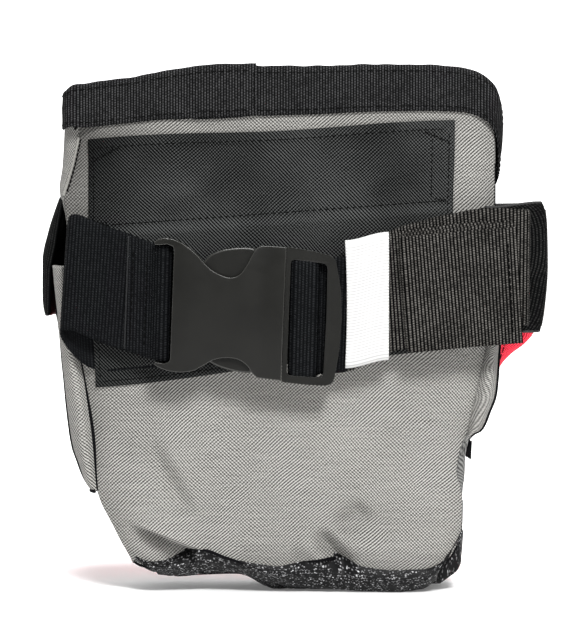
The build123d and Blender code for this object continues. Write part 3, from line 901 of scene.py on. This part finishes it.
def tunnel_panel():
    v, u = np.meshgrid(np.linspace(0, 1, 160), np.linspace(0, 1, 220), indexing="ij")
    x, z = on_panel(u, v)
    cloth("belt_tunnel_panel", pack(x, panel_y(u, v), z), pack(x, z), BLACK, "belt_tunnel_panel", 0.9)

    def run(u0, v0, u1, v1, proud=0.1):
        t = np.linspace(0, 1, 60)
        u, v = u0 + (u1 - u0) * t, v0 + (v1 - v0) * t
        x, z = on_panel(u, v)
        return pack(x, panel_y(u, v) - proud, z)

    rows = ((0.02, 0.962, 0.98, 0.962), (0.014, 0.03, 0.014, 0.97), (0.939, 0.66, 0.939, 0.95))
    rows += ((0.985, 0.12, 0.985, 0.97), (0.02, 0.65, 0.98, 0.65), (0.02, 0.022, 0.88, 0.022))
    sewn = []
    for row in rows:
        sewn += stitches(run(*row), 2.0, 0.9, 0.2)
    threads("tunnel_stitching", sewn)
    tacks = []
    rows = ((0.014, 0.912, 0.085, 0.958), (0.985, 0.905, 0.917, 0.955))
    rows += ((0.016, 0.65, 0.05, 0.665), (0.98, 0.65, 0.945, 0.665))
    for row in rows:
        line = run(*row, 0.18)
        length = np.linalg.norm(line[-1] - line[0])
        across = np.cross((line[-1] - line[0]) / length, [0, 1, 0])
        steps = np.arange(0, length, 0.8)
        turns = pick(line, np.linspace(0, length, len(line)), steps)
        tacks.append(tube(turns + across * (0.42 * (-1.0) ** np.arange(len(steps)))[:, None], 0.22, 6))
    threads("tunnel_bar_tacks", tacks, POUCH, ["tunnel_bar_tacks"])


# ---- buckle ----
# Its tilt on the belt, how far its ends lean, its middle, and half the thickness of its shell and cavity.
TILT = math.radians(4.8)
LEAN = math.radians(2.2)
BUCKLE_AT = np.array([-0.7, -15.5, 123.5])
SHELL, CAVITY = 6.3, 3.9


def from_buckle(points):
    """The buckle's frame (along the belt, outward-facing depth, across the belt) to the drawing frame."""
    x, y, z = np.asarray(points, float).reshape(-1, 3).T
    out = pack(x * math.cos(TILT) + z * math.sin(LEAN), y, z * math.cos(TILT) - x * math.sin(TILT))
    return out + BUCKLE_AT


def scratch(name, points, faces):
    """A closed plastic shape in the buckle's frame, with its faces turned outwards."""
    obj = add_mesh(name, points, faces, PLASTIC, PLASTIC_HIGHLIGHT)
    bm = bmesh.new()
    bm.from_mesh(obj.data)
    bmesh.ops.recalc_face_normals(bm, faces=bm.faces)
    bm.to_mesh(obj.data)
    bm.free()
    return obj


def prism(outline, y0, y1):
    """A closed outline in x and z pulled from y0 to y1."""
    n = len(outline)
    points = [(x, y, z) for y in (y0, y1) for x, z in outline]
    faces = [tuple(range(n)), tuple(range(2 * n - 1, n - 1, -1))]
    faces += [(i, (i + 1) % n, (i + 1) % n + n, i + n) for i in range(n)]
    return scratch("prism", points, faces)


def box(x0, x1, y0, y1, z0, z1):
    return prism([(x0, z0), (x1, z0), (x1, z1), (x0, z1)], y0, y1)


def rounded(corners, steps=6):
    """An outline with rounded corners, from rows of x, z and radius."""
    out, n = [], len(corners)
    for i, (x, z, r) in enumerate(corners):
        p = np.array([x, z], float)
        a = np.array(corners[i - 1][:2], float) - p
        b = np.array(corners[(i + 1) % n][:2], float) - p
        la, lb = np.linalg.norm(a), np.linalg.norm(b)
        if r <= 0:
            out.append(tuple(p))
            continue
        half = math.acos(np.clip(np.dot(a / la, b / lb), -1, 1)) / 2
        cut = min(r / math.tan(half), 0.49 * la, 0.49 * lb)
        start, end = p + a / la * cut, p + b / lb * cut
        for t in np.linspace(0, 1, steps):
            q = (1 - t) ** 2 * start + 2 * t * (1 - t) * p + t * t * end
            out.append(tuple(q))
    return out


def bake(obj):
    """Replaces the mesh with what its modifiers make of it."""
    graph = bpy.context.evaluated_depsgraph_get()
    mesh = bpy.data.meshes.new_from_object(obj.evaluated_get(graph))
    obj.modifiers.clear()
    obj.data = mesh
    return obj


def cut(obj, others, operation="DIFFERENCE"):
    for other in others:
        change = obj.modifiers.new("cut", "BOOLEAN")
        change.operation, change.object, change.solver = operation, other, "EXACT"
    bake(obj)
    for other in others:
        bpy.data.objects.remove(other)
    return obj


def round_edges(obj, width, segments=3):
    """Rounds the sharp edges, in a lighter plastic that paints a highlight along them."""
    soft = obj.modifiers.new("edges", "BEVEL")
    soft.width, soft.segments = width, segments
    soft.limit_method, soft.angle_limit = "ANGLE", math.radians(40)
    soft.use_clamp_overlap, soft.harden_normals = True, False
    # The bevels take the second, lighter plastic, as a painted highlight.
    soft.material = 1
    return bake(obj)


def finish_plastic(obj, name, body, crown=None):
    """Moves a part from the buckle's frame into place, crowned and smoothly shaded."""
    mesh = obj.data
    bm = bmesh.new()
    bm.from_mesh(mesh)
    if crown:
        slices = [((0, 0, z), (0, 0, 1)) for z in np.arange(-27, 28, 3.0)]
        slices += [((x, 0, 0), (1, 0, 0)) for x in np.arange(-51, 0, 4.0)]
        for at, normal in slices:
            bmesh.ops.bisect_plane(bm, geom=bm.verts[:] + bm.edges[:] + bm.faces[:], plane_co=at, plane_no=normal)
        for v in bm.verts:
            v.co.y += crown(*v.co)
    bmesh.ops.dissolve_degenerate(bm, dist=1e-4, edges=bm.edges[:])
    bmesh.ops.triangulate(bm, faces=[f for f in bm.faces if len(f.verts) > 4])
    bm.to_mesh(mesh)
    bm.free()
    co = np.zeros(len(mesh.vertices) * 3)
    mesh.vertices.foreach_get("co", co)
    mesh.vertices.foreach_set("co", place(from_buckle(co)).astype(np.float32).ravel())
    mesh.polygons.foreach_set("use_smooth", [True] * len(mesh.polygons))
    mesh.set_sharp_from_angle(angle=math.radians(38))
    obj.name = mesh.name = name
    obj.modifiers.new("shading", "WEIGHTED_NORMAL").keep_sharp = True
    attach(obj, body)
    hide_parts(name)


def smooth_outline(points, step=1.0):
    line, _ = spline([(x, 0, z) for x, z in points], step)
    return [(p[0], p[2]) for p in line]


def buckle_socket():
    """Flat shell with a waist cut on both sides, hooks beside the webbing, and a webbing bar."""
    top = smooth_outline([
        (-9.4, 28.3), (-11.6, 27.0), (-13.6, 23.6), (-16.0, 18.6), (-18.8, 14.9), (-22.2, 13.5), (-26, 14.1),
        (-30.5, 16.1), (-34.0, 19.0), (-37.6, 22.6), (-42.6, 26.0), (-47.4, 27.8), (-52, 28.0), (-54.6, 27.0),
    ])
    low = smooth_outline([
        (-9.4, -28.4), (-11.4, -26.8), (-13.8, -23.6), (-17.4, -21.4), (-22.3, -20.9), (-28, -22.2),
        (-32.4, -25.0), (-36.6, -27.6), (-40.9, -28.7), (-46.5, -28.8), (-50.6, -28.0), (-53.0, -27.0),
    ])
    horn_top = [(-55.6, 25.8), (-55.2, 24.9), (-53.6, 24.9), (-50.0, 25.5), (-47.6, 24.9), (-46.9, 23.4)]
    horn_low = [(-53.8, -26.2), (-53.6, -25.6), (-52.0, -25.6), (-49.6, -25.8), (-47.6, -25.0), (-46.9, -23.4)]
    outline = [(1.0, 28.6), *top, *horn_top, *horn_low[::-1], *low[::-1], (1.0, -28.8)]
    shell = round_edges(prism(outline, -SHELL, SHELL), 1.6, 4)
    shell = cut(shell, [box(-39, -12, -CAVITY, CAVITY, -25.6, 25.6), box(-13, 8, -CAVITY, CAVITY, -22, 22)])
    bar = tube([(-51, 2.0, z) for z in np.linspace(-26.8, 26.8, 12)], 2.0, 16)
    shell = cut(shell, [scratch("bar", *bar)], "UNION")

    def crown(x, y, z):
        if y >= -2:
            return 0.0
        lip = 0.5 * math.exp(-(((x + 0.5) / 3.2) ** 2))
        rise = -(1.7 * max(0.0, 1 - (z / 30) ** 2) - 1.0 + lip) * min(1.0, (-y - 2) / 3)
        rise += 1.6 * smooth((-40 - x) / 15) * min(1.0, (-y - rise - 2) / 3)
        return rise + 0.5 * math.exp(-(((x + 9) / 5) ** 2)) * min(1.0, (-y - rise - 2) / 3)

    finish_plastic(shell, "buckle_socket", SOCKET_SIDE, crown)


def buckle_plug():
    """The ladder-lock frame with its bar, and the guide tongue between the latch arms."""
    body = prism(rounded([
        (1.15, 28.8, 1.0), (12, 27.9, 12), (22.2, 26.2, 5.0), (25.2, 12, 14), (25.9, 0, 30), (25.4, -14, 14),
        (23.4, -29.4, 5.0), (12, -29.7, 20), (1.15, -29.4, 1.0),
    ], 7), -4.2, 3.4)
    hole = [(3.2, 23.6, 2.0), (19.0, 22.9, 2.5), (19.4, 0, 20), (19.0, -26.2, 2.5), (3.2, -26.4, 2.0)]
    body = cut(body, [prism(rounded(hole, 5), -10, 10), box(18, 30, 0.6, 9, -26.6, 26.0)])
    bar = prism([(5.8, 26.5), (13.4, 26.5), (13.4, -26.5), (5.8, -26.5)], -2.5, 0.5)
    body = round_edges(cut(body, [bar], "UNION"), 1.1)
    tongue = [(2.2, 3.2, 0), (-30, 3.0, 1), (-34, 1.2, 1.4), (-34, -1.2, 1.4), (-30, -3.0, 1), (2.2, -3.2, 0)]
    body = cut(body, [round_edges(prism(rounded(tongue, 5), -3.1, 3.1), 0.5, 2)], "UNION")

    def crown(x, y, z):
        return 0.9 * (x / 27) ** 3 * min(1.0, (-y - 2) / 1.5) if y < -2 and x > 2.0 else 0.0

    finish_plastic(body, "buckle_plug", PLUG_SIDE, crown)


def latch_arm(sign, name, body):
    """A sprung arm with a broad thumb face and a square shoulder."""
    inner = [(0.2, 18.4), (-1.4, 19.0), (-6, 19.6), (-9.6, 20.6), (-11.2, 22.2), (-11.8, 25.6)]
    outer = smooth_outline([(-12.8, 26.9), (-16, 26.9), (-21, 26.3), (-27, 24.8), (-31.5, 22.4), (-34.4, 19.0)])
    tip = [(-34.8, 16.6), (-33.2, 14.0), (-29, 12.2), (-23, 11.6), (-17, 12.6), (-8, 14.2), (-1.4, 15.0), (0.2, 15.8)]
    arm = prism([(x, sign * z) for x, z in inner + outer + tip], -3.2, 3.2)
    finish_plastic(round_edges(arm, 0.7), name, body)


# ---- webbing ----
# The webbing's section: how far across and how far out its points lie, as shares of half its size.
ACROSS = [-1, -0.985, -0.93, -0.75, -0.5, -0.25, 0, 0.25, 0.5, 0.75, 0.93, 0.985, 1.0]
PROUD = [0.0, 0.72, 0.95, 1, 1, 1, 1, 1, 1, 1, 0.95, 0.72, 0.0]
HALF_WIDE, HALF_THICK = 25.0, 0.725


def webbing(name, stations, body, seed, material=BELT):
    """Ribbed webbing along stations of x, y, z and the tilt of its width, in degrees."""
    line, at = spline(stations, 0.25)
    tilt = np.radians(line[:, 3])
    across = pack(np.sin(tilt), 0.0, np.cos(tilt))
    along = np.gradient(line[:, :3], axis=0)
    along -= across * (along * across).sum(1)[:, None]
    along /= np.linalg.norm(along, axis=1)[:, None]
    normal = np.cross(along, across)
    rib = 0.14 * np.abs(np.sin(np.pi * at / RIB))
    ring = list(zip(ACROSS, PROUD)) + [(a, -b) for a, b in zip(ACROSS[-2:0:-1], PROUD[-2:0:-1])]
    edge = 0.16 * wobble(at, scale=23, seed=seed) + 0.07 * np.sin(2 * np.pi * at / RIB)
    cup = 0.25 * wobble(at, scale=60, seed=seed + 1)
    points, uv = [], []
    for a, b in ring:
        sideways = a * (HALF_WIDE + edge * abs(a))
        depth = b * HALF_THICK + np.sign(b) * rib * (abs(b) - 0.3) + cup * (a * a - 0.4)
        points.append(line[:, :3] + across * sideways[:, None] + normal * depth[:, None])
        uv.append(pack(at, a * HALF_WIDE + (60 if b < 0 else 0)))
    points, uv = np.stack(points, 1), np.stack(uv, 1)
    faces = skin(*points.shape[:2])
    return piece(name, points, faces, material, body, [name], uv.reshape(-1, 2))


def held(points, rise=(), tilt=1.5):
    """Rows of the buckle's x and y as webbing stations; rise lifts them across the belt."""
    rows = from_buckle([(x, y, 0) for x, y in points])
    rise = list(rise) + [0.0] * (len(points) - len(rise))
    return [(x, y, z + r, tilt) for (x, y, z), r in zip(rows, rise)]


def inside(x):
    """A webbing station inside the tunnel, where the belt's middle line rises to the right."""
    return x, -1.3, 129.3 + 0.0875 * x, -5


def fixed_belt():
    start = held([(-66.5, 3.2), (-61, 3.15), (-57, 2.6)], (3.2, 1.8, 0.8))
    loop = held(arc(-51, 2.0, 3.05, -130, 100))
    leg = held([(-56, 4.9), (-61, 4.9)], (0.4, 1.6))
    free = [
        (-68, -10.6, 132.6, 4.5), (-76, -10.5, 135.2, 4.5), (-84, -10.2, 138.6, 4), (-90, -9.2, 140.8, 4),
        (-93.3, -7.4, 140.6, 4), (-94.3, -5.2, 138.2, 4), (-93.4, -3.1, 134.0, 2), (-90.8, -1.9, 129.2, -1),
        (-86, -1.4, 124.6, -3), (-79, -1.3, 122.6, -5), inside(-70), inside(19.6),
    ]
    # The fixed belt is in the shaded copy of the webbing, as painted shade.
    webbing("belt_webbing_fixed", start + loop + leg + free, SOCKET_SIDE, 11, BELT_PAINTED_SHADE)
    sewn = []
    for x, y, lift in ((-64.6, 2.25, 2.6), (-58.6, 2.15, 1.1)):
        row = from_buckle([(x, y, z) for z in np.linspace(-21, 21, 40)]) + np.array([0, 0, lift])
        sewn += stitches(row, 2.2, 0.8, 0.26)
    threads("belt_sewn_end_stitching", sewn, SOCKET_SIDE)
    end = from_buckle([(-66.9, 2.6, z) for z in np.linspace(-24.3, 24.3, 60)]) + np.array([0, 0, 3.2])
    tubes("belt_sewn_end_edge", [tube(end, 0.42)], EDGE_END, SOCKET_SIDE)


def adjustable_belt():
    back = [
        inside(20.1), inside(60), (78, -1.5, 137.2, -4), (92, -2.0, 141.0, -2),
        (101, -2.8, 143.2, 0), (105.0, -4.6, 143.2, 0.5), (105.9, -7.0, 142.9, 0.5), (104.6, -9.3, 142.9, 0.5),
        (99, -10.7, 143.4, 0), (90, -11.2, 143.8, -3), (76, -11.3, 141.6, -6), (64, -11.5, 138.8, -6),
        (52, -11.6, 135.4, -5), (44, -11.7, 131.8, -3), (37, -11.8, 127.8, 0), (31, -11.8, 124.0, 3),
    ]
    leg = held([(23, 3.75), (14, 3.75), (8, 3.7)], (0.8, 0.1, 0))
    turn = arc(6.2, 1.6, 2.1, 90, 180, 4) + arc(6.2, -1.5, 2.05, 180, 270, 4)
    rise = held(turn, (-0.5, -0.7, -0.9, -1.2, -1.4, -1.5, -1.5, -1.5))
    fall = held(arc(12.9, -1.5, 2.05, 270, 360, 4), (-1.5, -1.5, -1.4, -1.2))
    tail = held(arc(17.2, 0.1, 2.0, 180, 95, 4) + [(23, 2.05)], (-0.9, -0.7, -0.4, 0, 0.8))
    out = [
        (31, -13.55, 123.8, 3), (37, -13.7, 127.4, 0), (44, -13.6, 131.2, -3), (54, -13.5, 133.8, -5),
        (75, -13.3, 136.5, -5), (96, -12.9, 138.6, -4),
    ]
    obj = webbing("belt_webbing_adjustable", back + leg + rise + fall + tail + out, PLUG_SIDE, 21)
    # The adjustable belt's part in front, left of x 27.5, takes the shaded webbing as painted shade.
    obj.data.materials.append(BELT_PAINTED_SHADE)
    for face in obj.data.polygons:
        x, y = (face.center[i] * 1000 - SHIFT[i] for i in (0, 1))
        face.material_index = 1 if x < 27.5 and y < -6 else 0


def belt_tail():
    start = [
        (96.4, -12.9, 138.7, -4), (99.2, -13.1, 138.8, -4), (100.3, -13.8, 138.5, -4), (99.2, -14.6, 138.0, -4),
        (94, -14.9, 137.4, -4), (75, -15.1, 135.2, -5.5),
    ]
    fold = [
        (55.8, -15.2, 133.0, -4.4), (53.1, -15.5, 132.4, -4.3), (52.2, -16.4, 131.9, -4.3),
        (53.2, -17.35, 131.6, -4.4), (55.8, -17.6, 131.7, -4.6),
    ]
    front = [(70, -17.3, 133.0, -5.2), (86, -16.7, 134.4, -4.2), (101.6, -16.0, 135.6, -3.4)]
    webbing("belt_tail", start + fold + front, PLUG_SIDE, 31)
    z = np.linspace(-21, 21, 30)
    sewn = []
    for x in (97.6, 95.4):
        sewn += stitches(pack(x - z * 0.06, -17.1, 135.4 + z), 2.2, 0.8, 0.24)
    threads("belt_tail_stitching", sewn, PLUG_SIDE)


def strap_keeper():
    """A flat elastic loop round both layers of webbing."""
    half_y, half_z, rad = 3.4, 26.6, 2.6
    y, z = half_y - rad, half_z - rad
    loop = arc(y, z, rad, 0, 90, 10) + arc(-y, z, rad, 90, 180, 10)
    loop += arc(-y, -z, rad, 180, 270, 10) + arc(y, -z, rad, 270, 360, 10)
    y, z, _, _, s = evenly(loop + loop[:1], 260)
    x = np.linspace(26.7, 45.4, 28)[:, None]
    t = (x - 26.7) / 18.7
    bow = 0.78 * (1 - (z / 27) ** 2) * (1 - t)
    depth = -12.75 + y - 0.35 * np.sin(np.pi * t) * (y < 0)
    points = pack(x + bow, depth, 127.2 + 3.6 * smooth(t) + z)
    cloth("strap_keeper", points, pack(s[None, :], x), WHITE, "strap_keeper", 1.0, True, body="keeper")


# ---- build ----
back_panel()
front_panel()
side_panel(-1, "bag_side_left", "left_gusset")
side_panel(1, "bag_side_right", "right_gusset")
mesh_bottom()
rim_webbing()
front_pocket()
mouth_band()
seam_piping()
tunnel_panel()
buckle_socket()
buckle_plug()
latch_arm(1, "latch_arm_upper", "upper_latch")
latch_arm(-1, "latch_arm_lower", "lower_latch")
fixed_belt()
adjustable_belt()
belt_tail()
strap_keeper()


# ---- floor, light and camera ----
def floor():
    """A paper sweep that glows, more so the farther it lies, so it fades to white: painted light, not a lamp."""
    bend = [(1.5 + 0.8 * math.sin(a), 0.8 - 0.8 * math.cos(a)) for a in np.linspace(0, math.pi / 2, 24)]
    profile = [(-3.0, 0.0), (0.0, 0.0), (0.5, 0.0), (1.0, 0.0), *bend, (2.3, 4.0)]
    points = [(side * 4.0, y, z) for y, z in profile for side in (-1, 1)]
    faces = [(2 * i, 2 * i + 1, 2 * i + 3, 2 * i + 2) for i in range(len(profile) - 1)]
    s = Surface("floor_paper", 0.9, 0.0, 0.2)
    far = s.node("SeparateXYZ", {0: s.solid()}, 1)
    glow = s.span(far, 0.1, 1.1, 0.12, 0.75)
    s.feed(s.shader, {"Base Color": (0.9, 0.9, 0.9, 1), "Emission Color": (1, 1, 1, 1), "Emission Strength": glow})
    add_mesh("floor", points, faces, s.material)


def stand(name, data, where, aim):
    """A lamp or camera at a place, turned towards another."""
    obj = add(name, data)
    obj.location = where
    obj.rotation_mode = "QUATERNION"
    obj.rotation_quaternion = (Vector(aim) - Vector(where)).to_track_quat("-Z", "Y")
    return obj


def lamp(name, where, aim, size, power):
    data = bpy.data.lights.new(name, "AREA")
    data.shape, data.size, data.energy = "DISK", size, power
    stand(name, data, where, aim)


floor()
world = bpy.data.worlds.new("studio")
world.use_nodes = True
world.node_tree.nodes["Background"].inputs[0].default_value = (1, 1, 1, 1)
world.node_tree.nodes["Background"].inputs[1].default_value = 0.40
bpy.context.scene.world = world
LAMP = 0.5  # width of each lamp, in metres
lamp("key", (0.35, -1.55, 1.25), (0, 0, 0.12), LAMP, 56)
lamp("top", (-0.1, -0.22, 1.5), (0, 0, 0.1), LAMP, 26)
bpy.context.scene.view_settings.view_transform = "Standard"

SENSOR, DISTANCE, FRAME_WIDE = 36.0, 1.30, 0.2783  # the frame is this wide, in metres, at the back panel
camera = bpy.data.cameras.new("camera")
camera.sensor_width = SENSOR
camera.lens = SENSOR * DISTANCE / FRAME_WIDE
aim = Vector(place([(0.0, 0.0, 120.0)])[0])
raised = math.radians(2.0)
eye = aim + Vector((0, -math.cos(raised), math.sin(raised))) * DISTANCE
bpy.context.scene.camera = stand("camera", camera, eye, aim)
